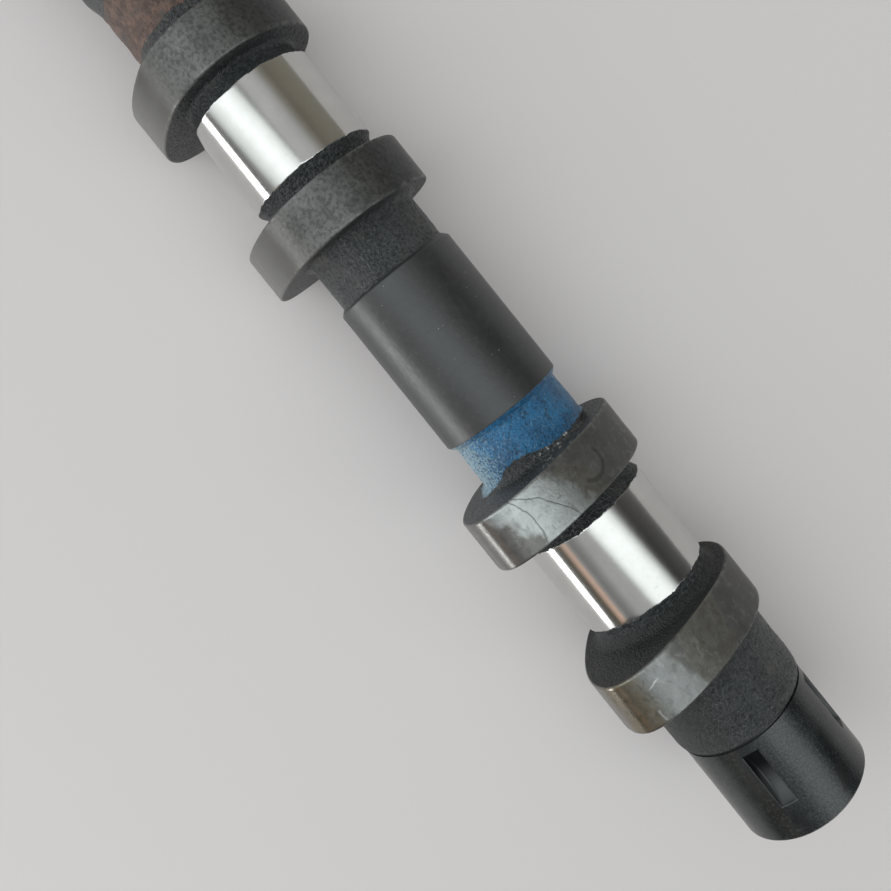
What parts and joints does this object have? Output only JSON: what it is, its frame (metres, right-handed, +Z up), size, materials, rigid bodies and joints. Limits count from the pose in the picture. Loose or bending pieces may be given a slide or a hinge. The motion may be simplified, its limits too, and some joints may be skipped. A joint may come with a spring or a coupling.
{
  "type": "camshaft",
  "caption": "Cast engine camshaft with paired cam lobes beside ground bearing journals, a keyed sprocket seat at one end and a slotted spigot at the other.",
  "frame": {"origin": "on the shaft's axis, at the shoulder that the sprocket seats against", "axes": "+X along the shaft from the sprocket end to the slotted end, +Z up as the shaft lies on a flat surface"},
  "size_m": [0.4123, 0.0406, 0.0406],
  "materials": {
    "camshaft_iron": "dark cast skin, with bright ground journals and matt ground lobes"
  },
  "bodies": {
    "root": {"camshaft": "camshaft_iron"}
  },
  "joints": []
}
